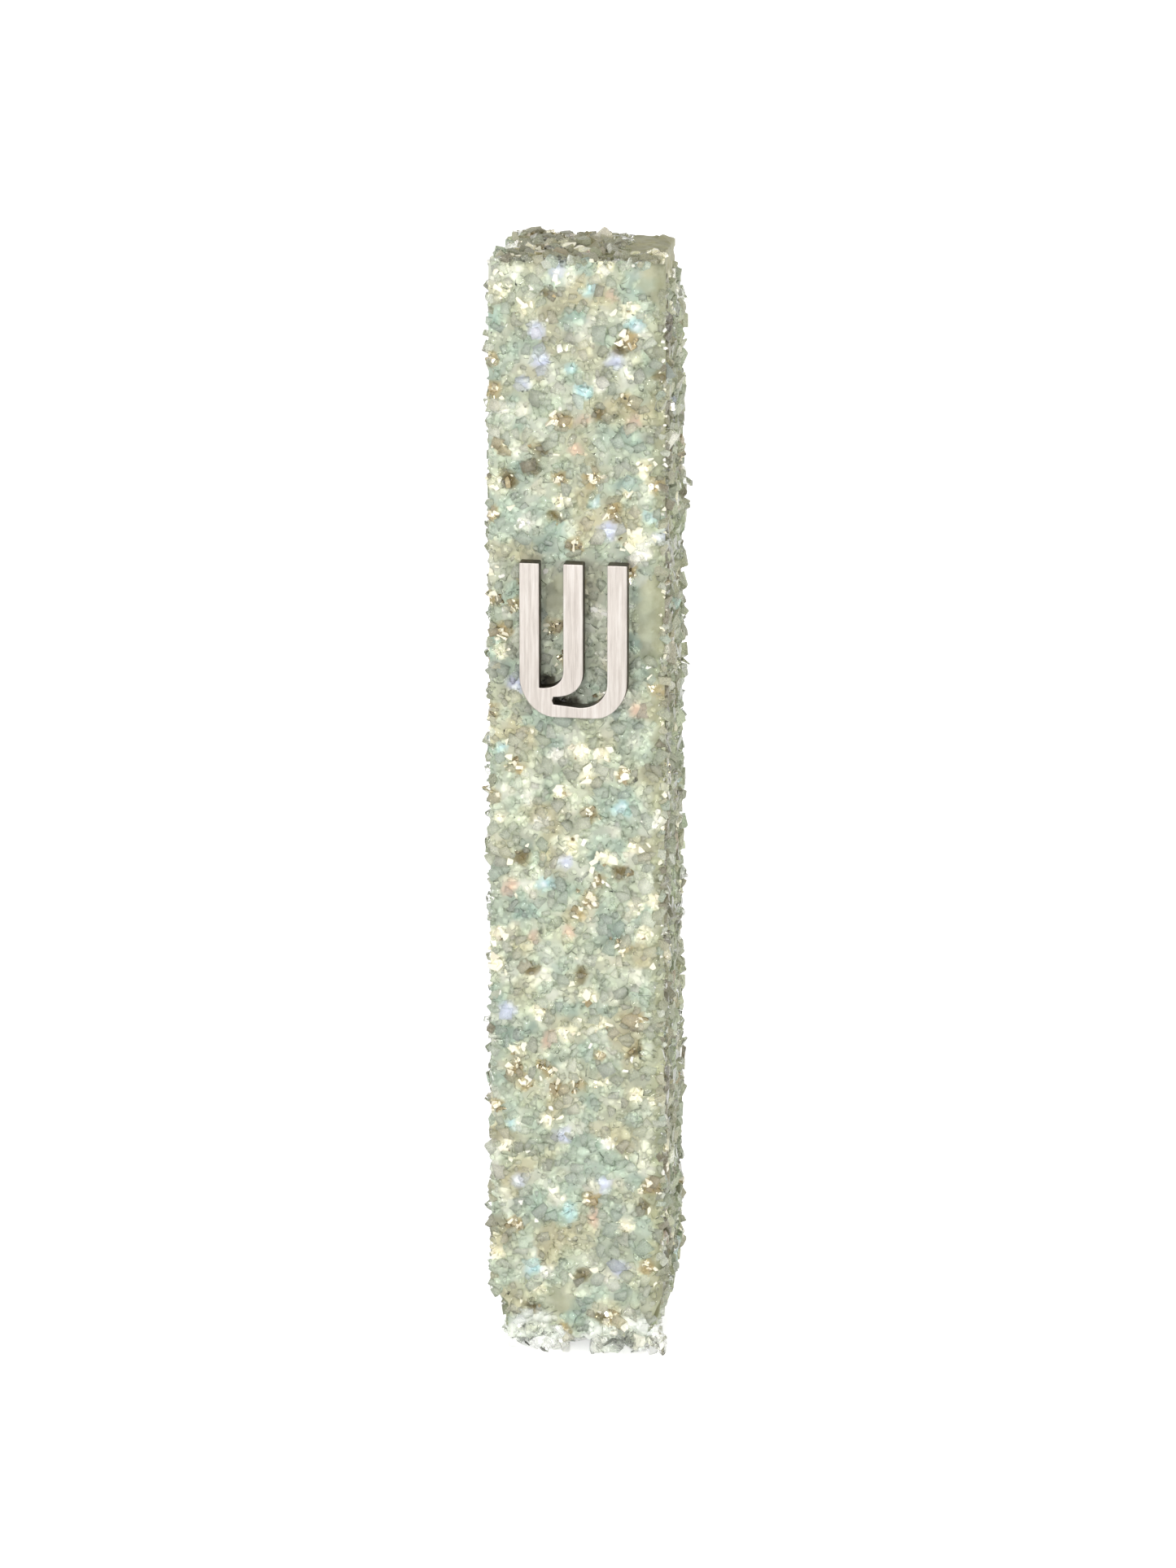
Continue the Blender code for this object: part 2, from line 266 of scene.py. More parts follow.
def resin_material(name):
    made = Nodes(name, IOR=1.5, Specular_IOR_Level=0.25)
    own = made.tint()
    made.colour(made.mix(made.spread(made.noise(900.0, 4.0, 0.6), -0.35, 0.45), own, srgb(206, 209, 186)))
    made.roughness(made.spread(made.noise(900.0), 0.2, 0.45))
    made.bump(made.noise(1100.0, 3.0), 0.4, 0.0002)
    return made.material


def steel_material():
    """Brushed along its length on the face, dark on the cut walls."""
    made = Nodes("brushed_steel", Metallic=1.0, Anisotropic=0.5)
    fine = made.noise(1.0, 4.0, 0.7, stretch=(5000.0, 5000.0, 260.0))
    broad = made.noise(1.0, 2.0, 0.5, stretch=(2200.0, 2200.0, 70.0))
    face = made.ramp(
        made.mix(0.4, fine, broad),
        even_stops(srgb(188, 179, 171), srgb(216, 208, 200), srgb(236, 231, 225), low=0.3, high=0.7),
    )
    wall = made.ramp(broad, even_stops(srgb(62, 52, 42), srgb(104, 92, 78), low=0.3, high=0.7))
    facing = made.add("ShaderNodeSeparateXYZ")
    made.link(made.add("ShaderNodeNewGeometry").outputs["True Normal"], facing.inputs["Vector"])
    front = made.add("ShaderNodeMapRange")
    front.inputs["From Min"].default_value = -0.6
    front.inputs["From Max"].default_value = -0.75
    made.link(facing.outputs["Y"], front.inputs["Value"])
    made.colour(made.mix(front.outputs["Result"], wall, face))
    made.roughness(made.spread(fine, 0.28, 0.5))
    made.bump(fine, 0.2, 0.00003)
    return made.material


def plain_material(name, colours, grain, rough, relief, stretch=None, **sockets):
    """A cloudy colour with a finer grain, or streaks where it is stretched, in its roughness and relief."""
    made = Nodes(name, **sockets)
    made.colour(made.ramp(made.noise(160.0, 4.0, 0.6), even_stops(*colours, low=0.3, high=0.7)))
    fine = made.noise(1.0 if stretch else grain, 3.0, 0.65, stretch=stretch)
    made.roughness(made.spread(fine, *rough))
    made.bump(fine, 0.3, relief)
    return made.material


def cad_finishes():
    acrylic = plain_material(
        "acrylic_sheet",
        (srgb(150, 156, 128), srgb(176, 184, 158)),
        0,
        (0.12, 0.4),
        0.00005,
        stretch=(2500.0, 2500.0, 300.0),
        IOR=1.49,
        Coat_Weight=0.3,
    )
    foam = plain_material(
        "foam_tape",
        (srgb(206, 206, 198), srgb(232, 232, 226)),
        2600.0,
        (0.75, 0.95),
        0.0001,
    )
    panels = ("front_panel", "left_panel", "right_panel", "top_panel", "bottom_panel")
    tape_pads = ("upper_tape_pad", "middle_tape_pad", "lower_tape_pad")
    return {
        "shin_letter": steel_material(),
        "letter_pad": plain_material(
            "adhesive",
            (srgb(40, 38, 34), srgb(70, 66, 60)),
            2600.0,
            (0.5, 0.8),
            0.00005,
        ),
        "back_plate": plain_material(
            "frosted_plate",
            (srgb(188, 192, 185), srgb(208, 211, 204)),
            4200.0,
            (0.35, 0.6),
            0.00003,
            IOR=1.49,
        ),
        "scroll": plain_material(
            "parchment",
            (srgb(188, 164, 120), srgb(222, 206, 168)),
            2200.0,
            (0.6, 0.85),
            0.0001,
        ),
        "scroll_sleeve": plain_material(
            "clear_film",
            (srgb(232, 238, 238), srgb(246, 249, 249)),
            300.0,
            (0.05, 0.15),
            0.00003,
            Transmission_Weight=0.85,
        ),
        **{name: acrylic for name in panels},
        **{name: foam for name in tape_pads},
    }


# ---------------------------------------------------------------- crushed glass


def direction(chance):
    """A random unit vector."""
    while True:
        point = Vector([chance.uniform(-1, 1) for _ in range(3)])
        if 0.1 < point.length < 1.0:
            return point.normalized()


def shard_shapes(count, seed):
    """Broken-glass shapes about one unit across: blocks cut by random planes. Each is (points, faces)."""
    chance = random.Random(seed)
    shapes = []
    for _ in range(count):
        block = bmesh.new()
        bmesh.ops.create_cube(block, size=1.0)
        for _ in range(chance.choice((4, 5, 6))):
            normal = direction(chance)
            bmesh.ops.bisect_plane(
                block,
                geom=block.verts[:] + block.edges[:] + block.faces[:],
                plane_co=normal * chance.uniform(0.26, 0.46),
                plane_no=normal,
                clear_outer=True,
            )
            bmesh.ops.holes_fill(block, edges=[e for e in block.edges if e.is_boundary])
        bmesh.ops.recalc_face_normals(block, faces=block.faces)
        block.verts.index_update()
        points = np.array([vert.co[:] for vert in block.verts])
        faces = [[vert.index for vert in face.verts] for face in block.faces]
        shapes.append((points, faces))
        block.free()
    return shapes


SHARDS = shard_shapes(48, seed=5)


def turn(axis, angle):
    return np.array(Matrix.Rotation(angle, 3, Vector(axis)))


class Heap:
    """Shards of one material, gathered into one mesh."""

    def __init__(self):
        self.points, self.faces, self.tints = [], [], []
        self.used = 0

    def add(self, place, basis, size, tint, chance):
        """basis has the shard's across, along and outward directions as its columns."""
        points, faces = SHARDS[chance.randrange(len(SHARDS))]
        lie = turn((0, 0, 1), chance.uniform(0, 2 * math.pi))
        side = turn((1, 0, 0), chance.choice((0, math.pi)))
        self.points.append((points @ side.T * size) @ (basis @ lie).T + place)
        self.faces += [[index + self.used for index in face] for face in faces]
        self.tints += [(*tint, 1.0)] * len(faces)
        self.used += len(points)

    def build(self, name, material, sharp):
        """Edges folded by more than the sharp angle stay crisp; 0 keeps every break crisp."""
        mesh = bpy.data.meshes.new(name)
        mesh.from_pydata(np.concatenate(self.points).tolist(), [], self.faces)
        mesh.attributes.new("tint", "FLOAT_COLOR", "FACE").data.foreach_set("color", np.ravel(self.tints))
        mesh.materials.append(material)
        if sharp:
            mesh.shade_smooth()
            mesh.set_sharp_from_angle(angle=math.radians(sharp))
        piece = bpy.data.objects.new(name, mesh)
        bpy.context.scene.collection.objects.link(piece)
        return piece


class Face:
    """One coated face: its corner, across and along edges, outward direction and how its chips lie."""

    def __init__(self, name, corner, across, along, outward, tilt, layers):
        self.name, self.tilt, self.layers = name, tilt, layers
        self.corner = Vector(corner)
        self.width, self.length = Vector(across).length, Vector(along).length
        self.u, self.v = Vector(across).normalized(), Vector(along).normalized()
        self.n = Vector(outward).normalized()
        self.basis = np.array([self.u, self.v, self.n]).T

    def at(self, across, along, height):
        return self.corner + self.u * across + self.v * along + self.n * height


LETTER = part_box("shin_letter")

# The resin: its usual thickness, its thickness where the top is bare, and the fineness of its mesh
BED = 1.15 * MM
BARE_TOP = 1.45 * MM
BED_STEP = 0.3 * MM

# The chips deep in the resin: how far apart, how far they lean in or out, and how wavy their outlines are
CELL = 1.5 * MM
CELL_LEAN = 0.15 * MM
WAVE_LENGTH = 0.9 * MM
WAVE = 0.3 * MM

# No chips nearer the doorpost than this
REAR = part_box("right_glass_coat")[1].y - 0.6 * MM

# How far neighbouring beds run into each other, and how far the top's bed runs over the right one
LAP = 0.1 * MM
TOP_OVERHANG = 0.3 * MM

# Edges of the resin and of hanging, rim and loose chips stay crisp when folded by more degrees than this
CRISP = 60

# Screen colours of the glass, 0 to 255
TINTS = {
    "mint": (178, 190, 172),
    "sage": (186, 189, 165),
    "teal": (160, 177, 162),
    "pale": (210, 213, 196),
    "sand": (184, 180, 150),
    "edge": (152, 153, 122),
    "corner": (154, 148, 114),
    "moss": (158, 162, 118),
    # painted glint, cream-white
    "cream": (255, 249, 220),
    "gold": (170, 150, 104),
    "olive": (114, 101, 64),
    "aqua": (180, 214, 216),
    "lilac": (198, 203, 222),
    "peach": (212, 186, 164),
    # painted glint, white
    "pearl": (252, 249, 238),
    "foil": (250, 241, 214),
    "bronze": (158, 140, 98),
    # painted glow for the middle of aqua and lilac spots
    "painted_glow": (246, 250, 252),
    # painted shadow in the slot under the letter's hook
    "shade": (44, 38, 28),
    # painted light: white, for the surroundings seen through the hanging chips
    "painted_backlight": (240, 243, 236),
}

# Layers of chips: name, spacing, smallest, largest and usual size in mm, share of clear ones,
# share of each chip that stands out
FRONT_LAYERS = [("large", 1.5, 1.2, 2.4, 1.7, 0.6, 0.3), ("small", 1.1, 0.6, 1.3, 0.9, 0.65, 0.45)]
TOP_LAYERS = [("large", 1.5, 1.3, 2.6, 1.9, 0.2, 0.65), ("small", 1.0, 0.6, 1.4, 0.9, 0.25, 0.6)]
SIDE_LAYERS = [("large", 1.5, 1.3, 2.7, 1.9, 0.35, 0.6), ("small", 1.1, 0.6, 1.4, 0.9, 0.45, 0.5)]

# The spots that stand out most on the front: across, up and size, in mm
ACCENTS = {
    # painted glints: cream-white spots among the gold
    "cream": [
        (-10, 71, 2), (7, 69, 2), (9, 48, 1.8), (-2, 43, 1.5), (-2, 3, 1.8), (4, -6, 2.4), (-8, -33, 2.2),
        (-4, -43, 2.4), (8, -39, 1.5), (-5, -67, 1.6),
    ],
    "olive": [
        (-4, 71, 1.6), (6, 64, 2.2), (3, 55, 1.8), (-5, 50, 1.6), (-9, 46, 3), (-3, 41, 2.2), (-7, -6, 2.2),
        (6, -8, 2.2), (8, -33, 2.2), (9, -55, 1.4), (1, -65, 1.6), (-6, -70, 1.7), (3, -71, 1.3),
    ],
    "gold": [
        (7, 65, 2.6), (-2, 54, 2.6), (0, 37, 2), (-3, 26, 2), (-10, 25, 2), (-8, 6, 2), (2, 0, 2.2),
        (3, -9, 1.8), (6, -18, 2), (0, -38, 2), (-8, -58, 1.9), (2, -54, 1.8), (5, -71, 2.2),
    ],
    "aqua": [
        (8, 67, 2.8), (1, 58, 2.8), (-10, 9, 1.8), (6, 1, 2.2), (-9, -44, 1.8), (-1, -56, 2.4),
        (-6, -64, 2.4),
    ],
    "lilac": [
        (-5, 62, 2.6), (5, 62, 2.4), (-7, 59, 2.4), (4, 39, 2.2), (-8, -52, 1.9), (4, -52, 2),
        (6, -64, 2.6),
    ],
    "peach": [(1, 54, 1.7), (8, 54, 2.2), (0, 50, 1.5), (8, 15, 1.8), (-9, -10, 2.2), (-4, -32, 1.9)],
    # painted glints: white spots
    "pearl": [
        (3, 28, 1.8), (4, 22, 1.6), (-10, 55, 1.4), (-7, 40, 1.6), (-3, 8, 1.8), (-5, -1, 1.5),
        (4, -46, 1.3), (-4, -65, 1.7),
    ],
    # painted shadow in the slot under the letter's hook
    "shade": [(-3, 15.6, 1.2), (-1.8, 15.5, 1.6), (-0.5, 15.4, 1.2), (-4.4, 18, 1)],
}  # fmt: skip

# How often each kind of spot is strewn over a face, one try for each so many square mm, and how near
# to another spot a try may land
# the cream and white spots among these are painted glints
STREWN = {
    "front": {"cream": 28, "olive": 8, "gold": 36, "aqua": 3, "lilac": 4, "peach": 5, "pearl": 6},
    "top": {"cream": 24, "olive": 44, "gold": 30, "pearl": 6, "peach": 6},
    "side": {"cream": 20, "olive": 52, "gold": 22, "aqua": 6, "lilac": 7, "peach": 6, "pearl": 10},
}
AREA_PER_ACCENT = {"front": 18, "top": 4, "side": 14}
ACCENT_DISTANCE = 2.4 * MM
ACCENT_SIZES = (1.2, 2.4)

# What lies over each kind of spot: material, tint, how many and their size as a share of the spot's
# the cream and white chips in these are painted glints
CLUSTERS = {
    "gold": [("foil", "foil", 3, 0.5), ("foil", "bronze", 2, 0.5), ("pearl", "cream", 2, 0.45)],
    "olive": [("foil", "bronze", 1, 0.4), ("pearl", "cream", 1, 0.25)],
    "cream": [("pearl", "cream", 4, 0.6), ("foil", "foil", 1, 0.5), ("foil", "bronze", 1, 0.35)],
    "pearl": [("pearl", "pearl", 4, 0.45)],
}

# Share of the small chips that are white or cream: painted glints
PAINTED_GLINT_SHARE = 0.035

# Patches of bare resin on the front: across, up, half width, half height, in mm
BARE = [(9.7, 27.2, 1.7, 5.7), (-2.4, 30.9, 1.2, 3.2), (-2.1, -68.8, 1.6, 1.7), (10.2, 73.0, 1.6, 2.2)]

# The front's bare band along its right edge
BAND = 0.4 * MM

# The front's cut lower corners: how high they start, and how far in and over what height each one goes
CUT_TOP = 7.5 * MM
LEFT_CUT = 2.3 * MM
LEFT_CUT_TAPER = 2.0 * MM
RIGHT_CUT = 2.0 * MM
RIGHT_CUT_TAPER = 5.0 * MM

# The front's ragged hem: from how high, and up to how much higher, in mm
HEM = (0.3, 0.9)

# How far the left and right beds stop short of the top
SIDE_HEAD = 0.6 * MM

# How high the left bed starts, how high the right bed is still tapered towards its foot, how much thinner
# both get there, and over what height
LEFT_FOOT = 5.6 * MM
RIGHT_FOOT = 8.0 * MM
FOOT_THINNING = 1.1 * MM
LEFT_FOOT_TAPER = 2.5 * MM
RIGHT_FOOT_TAPER = 6.5 * MM

# The right bed's head: how much thinner, from how far below its top, and over what height
HEAD_THINNING = 0.9 * MM
HEAD_START = 11.0 * MM
HEAD_TAPER = 9.0 * MM

# The right bed where the front meets it: how much thicker, and how wide
SEAM = 0.4 * MM
SEAM_WIDTH = 2.0 * MM

# The beds' rounded edges, and the front's wider one on its right: how much thinner, and how wide
ROUNDING = 0.5 * MM
ROUNDING_WIDTH = 1.2 * MM
RIGHT_ROUNDING = 0.2 * MM
RIGHT_ROUNDING_WIDTH = 2.2 * MM
THINNEST = 0.1 * MM

# Resin without chips: the right side's head and foot, and the bottom's rear
RIGHT_HEAD_BARE = 4.0 * MM
RIGHT_FOOT_BARE = 6.0 * MM
BOTTOM_REAR_BARE = 1.6 * MM

# Where clear chips hang under the front, from and to across, how far apart and how high up, in mm
FOOT_ROWS = [(-8.8, -3.5), (-3.3, -1.6), (2.4, 11.8)]
FOOT_SPACING = 0.26
FOOT_RISE = 3.0
FOOT_SIZES = (1.5, 2.6)
# whites for the hanging chips; on the milky and white ones this is painted light
FOOT_TINTS = ((255, 255, 253), (246, 250, 246), (252, 248, 232))

# Chips astride the front's top, right and left edges and the top's left edge: how many along each and how
# far apart, and how high over the front's lower edge they start, in mm
TOP_RIM = (36, 0.6)
RIGHT_RIM = (145, 0.95)
LEFT_RIM = (87, 1.6)
BACKWARD_RIM = (22, 0.9)
RIM_FOOT = 9.0
RIM_SIZES = (0.9, 1.9)
RIM_TINTS = ("olive", "sand", "edge", "sand", "mint", "sage", "pale")

# Longer shards: side (-1 left, 1 right), height, how far out the middle sits and length, in mm
LOOSE = [(1, 42.5, 0.6, 3.8), (1, 38.0, 0.3, 3.2), (1, -13.5, 0.5, 3.4), (1, -56.5, 0.5, 3.4)]
LOOSE += [(-1, 22.5, 0.3, 3.2), (-1, -33.5, 0.5, 3.4), (-1, -30.0, 0.2, 3.0), (1, 17.0, 0.2, 3.2)]
LOOSE += [(-1, -57.0, 0.2, 3.0)]


def blend(first, second, share):
    return tuple(a + (b - a) * share for a, b in zip(first, second))


def clamp(value):
    return min(1.0, max(0.0, value))


def drift(place, scale, turn_seed):
    """A smooth random number from 0 to 1."""
    value = noise.noise(Vector(place) / (scale * MM) + Vector((7.3, 1.9, 4.1)) * turn_seed)
    return clamp(0.5 + value)


def coated_faces():
    front_low, front_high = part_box("front_glass_coat")
    right_low, right_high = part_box("right_glass_coat")
    left_low, left_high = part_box("left_glass_coat")
    top_low, top_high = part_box("top_glass_coat")
    under_low, under_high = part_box("bottom_glass_coat")
    wide, tall = front_high.x - front_low.x, front_high.z - front_low.z
    deep, inner = right_high.y - right_low.y + LAP, top_high.x - top_low.x + 2 * LAP
    top_deep, under_deep = top_high.y - top_low.y + LAP, under_high.y - under_low.y + LAP
    front = (front_low.x, front_high.y, front_low.z)
    right = (right_low.x, right_low.y - LAP, right_low.z)
    left = (left_high.x, left_high.y, left_low.z)
    top = (top_low.x - LAP, top_low.y - LAP, top_low.z)
    under = (under_low.x - LAP, under_high.y, under_high.z)
    return [
        Face("front", front, (wide, 0, 0), (0, 0, tall), (0, -1, 0), 0.2, FRONT_LAYERS),
        Face("right", right, (0, deep, 0), (0, 0, tall), (1, 0, 0), 0.6, SIDE_LAYERS),
        Face("left", left, (0, -deep, 0), (0, 0, tall), (-1, 0, 0), 0.6, SIDE_LAYERS),
        Face("top", top, (inner + TOP_OVERHANG, 0, 0), (0, top_deep, 0), (0, 0, 1), 0.7, TOP_LAYERS),
        Face("bottom", under, (inner, 0, 0), (0, -under_deep, 0), (0, 0, -1), 0.5, SIDE_LAYERS),
    ]


class Pavement:
    """The chips lying deep in a face's resin: each has a height, a lean and a colour that show through."""

    def __init__(self, face, accents, chance):
        spots = []
        for kind, spot, size in accents:
            place = spot - face.corner
            spots.append((place.dot(face.u), place.dot(face.v), size, kind))
        for across, along in scatter(face, CELL, chance, fill=True):
            if all(math.hypot(across - a, along - b) > 0.55 * size for a, b, size, _ in spots):
                spots.append((across, along, 0.0, None))
        self.cells = []
        self.tree = kdtree.KDTree(len(spots))
        for index, (across, along, size, kind) in enumerate(spots):
            self.tree.insert((across, along, 0), index)
            tint = TINTS[kind] if kind else tint_at(face, face.at(across, along, BED))
            light = 1 + chance.gauss(0, 0.03 if kind else 0.055)
            height = (-0.25 if kind in ("olive", "shade") else chance.gauss(0, 0.07)) * MM
            lean = Vector((chance.gauss(0, 0.13), chance.gauss(0, 0.13), 0))
            tint = tuple(channel * light for channel in tint)
            self.cells.append((Vector((across, along, 0)), height, lean, tint, kind))
        self.tree.balance()

    def rise(self, index, place):
        """Height over the usual level of one cell's tilted top."""
        centre, height, lean = self.cells[index][:3]
        return height + max(-CELL_LEAN, min(CELL_LEAN, lean.dot(place - centre)))

    def look(self, across, along):
        """Height over the usual level, screen colour and kind of accent here."""
        warp = noise.noise_vector(Vector((across, along, 0)) / WAVE_LENGTH) * WAVE
        place = Vector((across + warp.x, along + warp.y, 0))
        (_, own, near), (_, other, far) = self.tree.find_n(place, 2)
        gap = (far - near) / MM
        tint, kind = self.cells[own][3:]
        rise, rise_2 = self.rise(own, place), self.rise(other, place)
        rise_share = 0.5 - 0.5 * min(1.0, gap / 0.45)
        tint_share = 0.5 - 0.5 * min(1.0, gap / 1.1)
        # Painted glow: aqua and lilac spots turn white towards their middle
        if kind in ("aqua", "lilac"):
            rim = near / (0.9 * MM) + 1.2 * drift((across, 0, along), 0.9, 8) - 0.3
            tint = blend(TINTS["painted_glow"], tint, min(1.0, rim))
        return rise + (rise_2 - rise) * rise_share, blend(tint, self.cells[other][3], tint_share), kind


def bed(face, pavement, material):
    """The clear resin the chips are set in: a slab whose face follows the chips in it."""
    columns, rows = round(face.width / BED_STEP), round(face.length / BED_STEP)
    block = bmesh.new()
    bmesh.ops.create_grid(block, x_segments=columns, y_segments=rows, size=0.5)
    top = block.faces[:]
    made = bmesh.ops.extrude_face_region(block, geom=top)
    bmesh.ops.reverse_faces(block, faces=top)
    raised = {item for item in made["geom"] if isinstance(item, bmesh.types.BMVert)}
    block.verts.index_update()
    tints = []
    for vert in block.verts:
        across, along = trim(face, (vert.co.x + 0.5) * face.width, (vert.co.y + 0.5) * face.length)
        rise, tint, _ = pavement.look(across, along)
        tints.append((*srgb(*tint), 1.0))
        vert.co = face.at(across, along, 0)
        if vert in raised:
            vert.co = face.at(across, along, level(face, across, along, rise))
    bmesh.ops.recalc_face_normals(block, faces=block.faces)
    mesh = bpy.data.meshes.new(face.name + "_resin_bed")
    block.to_mesh(mesh)
    block.free()
    mesh.materials.append(material)
    mesh.attributes.new("tint", "FLOAT_COLOR", "POINT").data.foreach_set("color", np.ravel(tints))
    mesh.shade_smooth()
    mesh.set_sharp_from_angle(angle=math.radians(CRISP))
    piece = bpy.data.objects.new(face.name + "_resin_bed", mesh)
    bpy.context.scene.collection.objects.link(piece)
    return piece


def limits(face, across, along):
    """A bed's ragged outline level with this place: least and most across, least and most along."""
    if face.name == "front":
        left = LEFT_CUT * clamp((CUT_TOP - along) / LEFT_CUT_TAPER)
        right = face.width - RIGHT_CUT * clamp((CUT_TOP - along) / RIGHT_CUT_TAPER)
        hem = (HEM[0] + HEM[1] * drift((across, 0, 0), 1.3, 9)) * MM
        return left, right, hem, face.length
    if face.name == "left":
        return 0.0, face.width, LEFT_FOOT, face.length - SIDE_HEAD
    if face.name == "right":
        return 0.0, face.width, 0.0, face.length - SIDE_HEAD
    return 0.0, face.width, 0.0, face.length


def trim(face, across, along):
    """Draw a bed in to the outline of its coat."""
    _, _, low, high = limits(face, across, along)
    along = low + (high - low) * along / face.length
    low, high, _, _ = limits(face, across, along)
    return low + (high - low) * across / face.width, along


def level(face, across, along, rise):
    """How far the resin stands out here: thin where it is bare, rounded off along its edges."""
    thick = BED + rise
    if face.name == "top" and empty(face, across, along):
        thick = BARE_TOP + rise
    nearest = across
    if face.name == "right":
        thick -= HEAD_THINNING * clamp((along - face.length + HEAD_START) / HEAD_TAPER)
        thick -= FOOT_THINNING * clamp((RIGHT_FOOT - along) / RIGHT_FOOT_TAPER)
        thick += SEAM * max(0.0, 1.0 - across / SEAM_WIDTH)
        nearest = face.width
    if face.name == "left":
        thick -= FOOT_THINNING * clamp((LEFT_FOOT + LEFT_FOOT_TAPER - along) / LEFT_FOOT_TAPER)
    edge = min(nearest, along, face.width - across, face.length - along)
    thick -= ROUNDING * max(0.0, 1.0 - edge / ROUNDING_WIDTH) ** 2
    if face.name == "front":
        thick -= RIGHT_ROUNDING * max(0.0, 1.0 - (face.width - across) / RIGHT_ROUNDING_WIDTH) ** 2
    return max(THINNEST, thick)


def front_tint(face, place, tint):
    """Darker by the right edge and in bare patches; painted light makes it paler behind the letter and white
    at the foot.
    """
    x, z = place[0] / MM, place[2] / MM
    from_edge = (face.at(face.width, 0, 0).x - place[0]) / MM
    tint = blend(tint, TINTS["edge"], 0.8 * clamp(2.0 - from_edge))
    # Painted light at the foot: white where chips hang, for the surroundings seen through them
    above_foot = (place[2] - face.corner.z) / MM
    inside_row = max(min(x - start, end - x) for start, end in FOOT_ROWS)
    painted_backlight_share = inside_row + 3.6 - above_foot + 3.0 * (drift(place, 1.2, 10) - 0.5)
    tint = blend(tint, TINTS["painted_backlight"], clamp(painted_backlight_share) * clamp(5.0 - above_foot))
    # Painted light: paler round the letter, lifting the shadow it casts on the glass
    if LETTER[0].x < place[0] < LETTER[1].x and LETTER[0].z < place[2] < LETTER[1].z:
        tint = blend(tint, TINTS["pale"], 0.4)
    bare = any(((x - a) / w) ** 2 + ((z - b) / h) ** 2 < 1.3 for a, b, w, h in BARE)
    return blend(tint, TINTS["edge"], 0.5) if bare else tint


def tint_at(face, place):
    """The usual screen colour of the glass here."""
    # The whole bottom bed is painted white: painted light, for the surroundings seen through the hanging
    # chips
    if face.name == "bottom":
        return TINTS["painted_backlight"]
    tint = blend(TINTS["sage"], TINTS["mint"], drift(place, 7.0, 1) * 1.6 - 0.3)
    tint = blend(tint, TINTS["teal"], max(0.0, drift(place, 3.6, 2) * 2.4 - 1.2))
    tint = blend(tint, TINTS["pale"], max(0.0, drift(place, 2.6, 3) * 2.4 - 1.1))
    tint = blend(tint, TINTS["sand"], max(0.0, drift(place, 5.0, 4) * 2.4 - 1.3))
    if face.name == "front":
        return front_tint(face, place, tint)
    tint = blend(tint, TINTS["moss"], 0.5)
    if face.name == "right":
        # Painted shade: olive in patches near the front edge, for the shade in the crevice there
        from_front = (place[1] - face.corner.y) / MM
        patchy = max(0.0, drift(place, 2.0, 5) * 4.0 - 1.2)
        painted_crevice_shade = min(1.0, max(0.0, 1.0 - from_front / 6.0) * patchy)
        tint = blend(tint, TINTS["olive"], painted_crevice_shade)
    if face.name == "top" or (face.name == "right" and place[2] > face.at(0, face.length - 4.5 * MM, 0).z):
        tint = blend(tint, TINTS["corner"], 0.7)
    return tint


def accents_of(face, chance):
    """Coloured spots on a face: strewn everywhere, after the front's own ones."""
    placed = []
    if face.name == "front":
        depth = face.at(0, 0, BED).y
        for kind, spots in ACCENTS.items():
            placed += [(kind, Vector((x * MM, depth, z * MM)), size * MM) for x, z, size in spots]
    pattern = face.name if face.name in STREWN else "side"
    kinds, weights = list(STREWN[pattern]), list(STREWN[pattern].values())
    count = round(face.width * face.length / MM**2 / AREA_PER_ACCENT[pattern])
    for _ in range(count):
        spot = face.at(chance.uniform(0, face.width), chance.uniform(0, face.length), BED)
        kind, size = chance.choices(kinds, weights)[0], chance.uniform(*ACCENT_SIZES) * MM
        away = spot - face.corner
        clear_of_others = all((spot - other).length > ACCENT_DISTANCE for _, other, _ in placed)
        if clear_of_others and not empty(face, away.dot(face.u), away.dot(face.v)):
            placed.append((kind, spot, size))
    return placed


def empty(face, across, along):
    """Whether the resin is bare here."""
    left, right, low, high = limits(face, across, along)
    outside = not (left <= across <= right and low <= along <= high)
    if outside or face.at(across, along, 0).y > REAR:
        return True
    if face.name == "front":
        x, z = face.at(across, along, 0).x / MM, face.at(across, along, 0).z / MM
        patches = any(((x - a) / w) ** 4 + ((z - b) / h) ** 4 < 1 for a, b, w, h in BARE)
        return face.width - across < BAND * (0.5 + drift((0, 0, z * MM), 2.5, 6)) or patches
    if face.name == "right":
        return face.length - along < RIGHT_HEAD_BARE or along < RIGHT_FOOT_BARE - 0.15 * across
    if face.name == "bottom":
        return along < BOTTOM_REAR_BARE
    if face.name == "top":
        ragged = 4.0 * MM * (drift((across, along, 0), 2.2, 7) - 0.5)
        return across > 0.7 * face.width + ragged and along > 0.35 * face.length + ragged
    return False


def scatter(face, spacing, chance, fill=False):
    """Places on a face, one near each point of a grid; fill also takes the bare parts."""
    columns, rows = max(1, round(face.width / spacing)), max(1, round(face.length / spacing))
    for row in range(rows):
        for column in range(columns):
            across = (column + 0.5 + chance.uniform(-0.45, 0.45)) * face.width / columns
            along = (row + 0.5 + chance.uniform(-0.45, 0.45)) * face.length / rows
            if fill or not empty(face, across, along):
                yield across, along


def chip(heap, face, across, along, surface, size, proud, tint, chance, shape):
    """proud is the share of it out of the resin; shape bounds its second side as a share of its first."""
    thick = size * chance.uniform(0.4, 0.65)
    lean = turn(tuple(direction(chance)), chance.gauss(0, face.tilt))
    size_xyz = np.array((size, size * chance.uniform(*shape), thick))
    place = np.array(face.at(across, along, surface + thick * (proud - 0.5)))
    heap.add(place, face.basis @ lean, size_xyz, tint, chance)


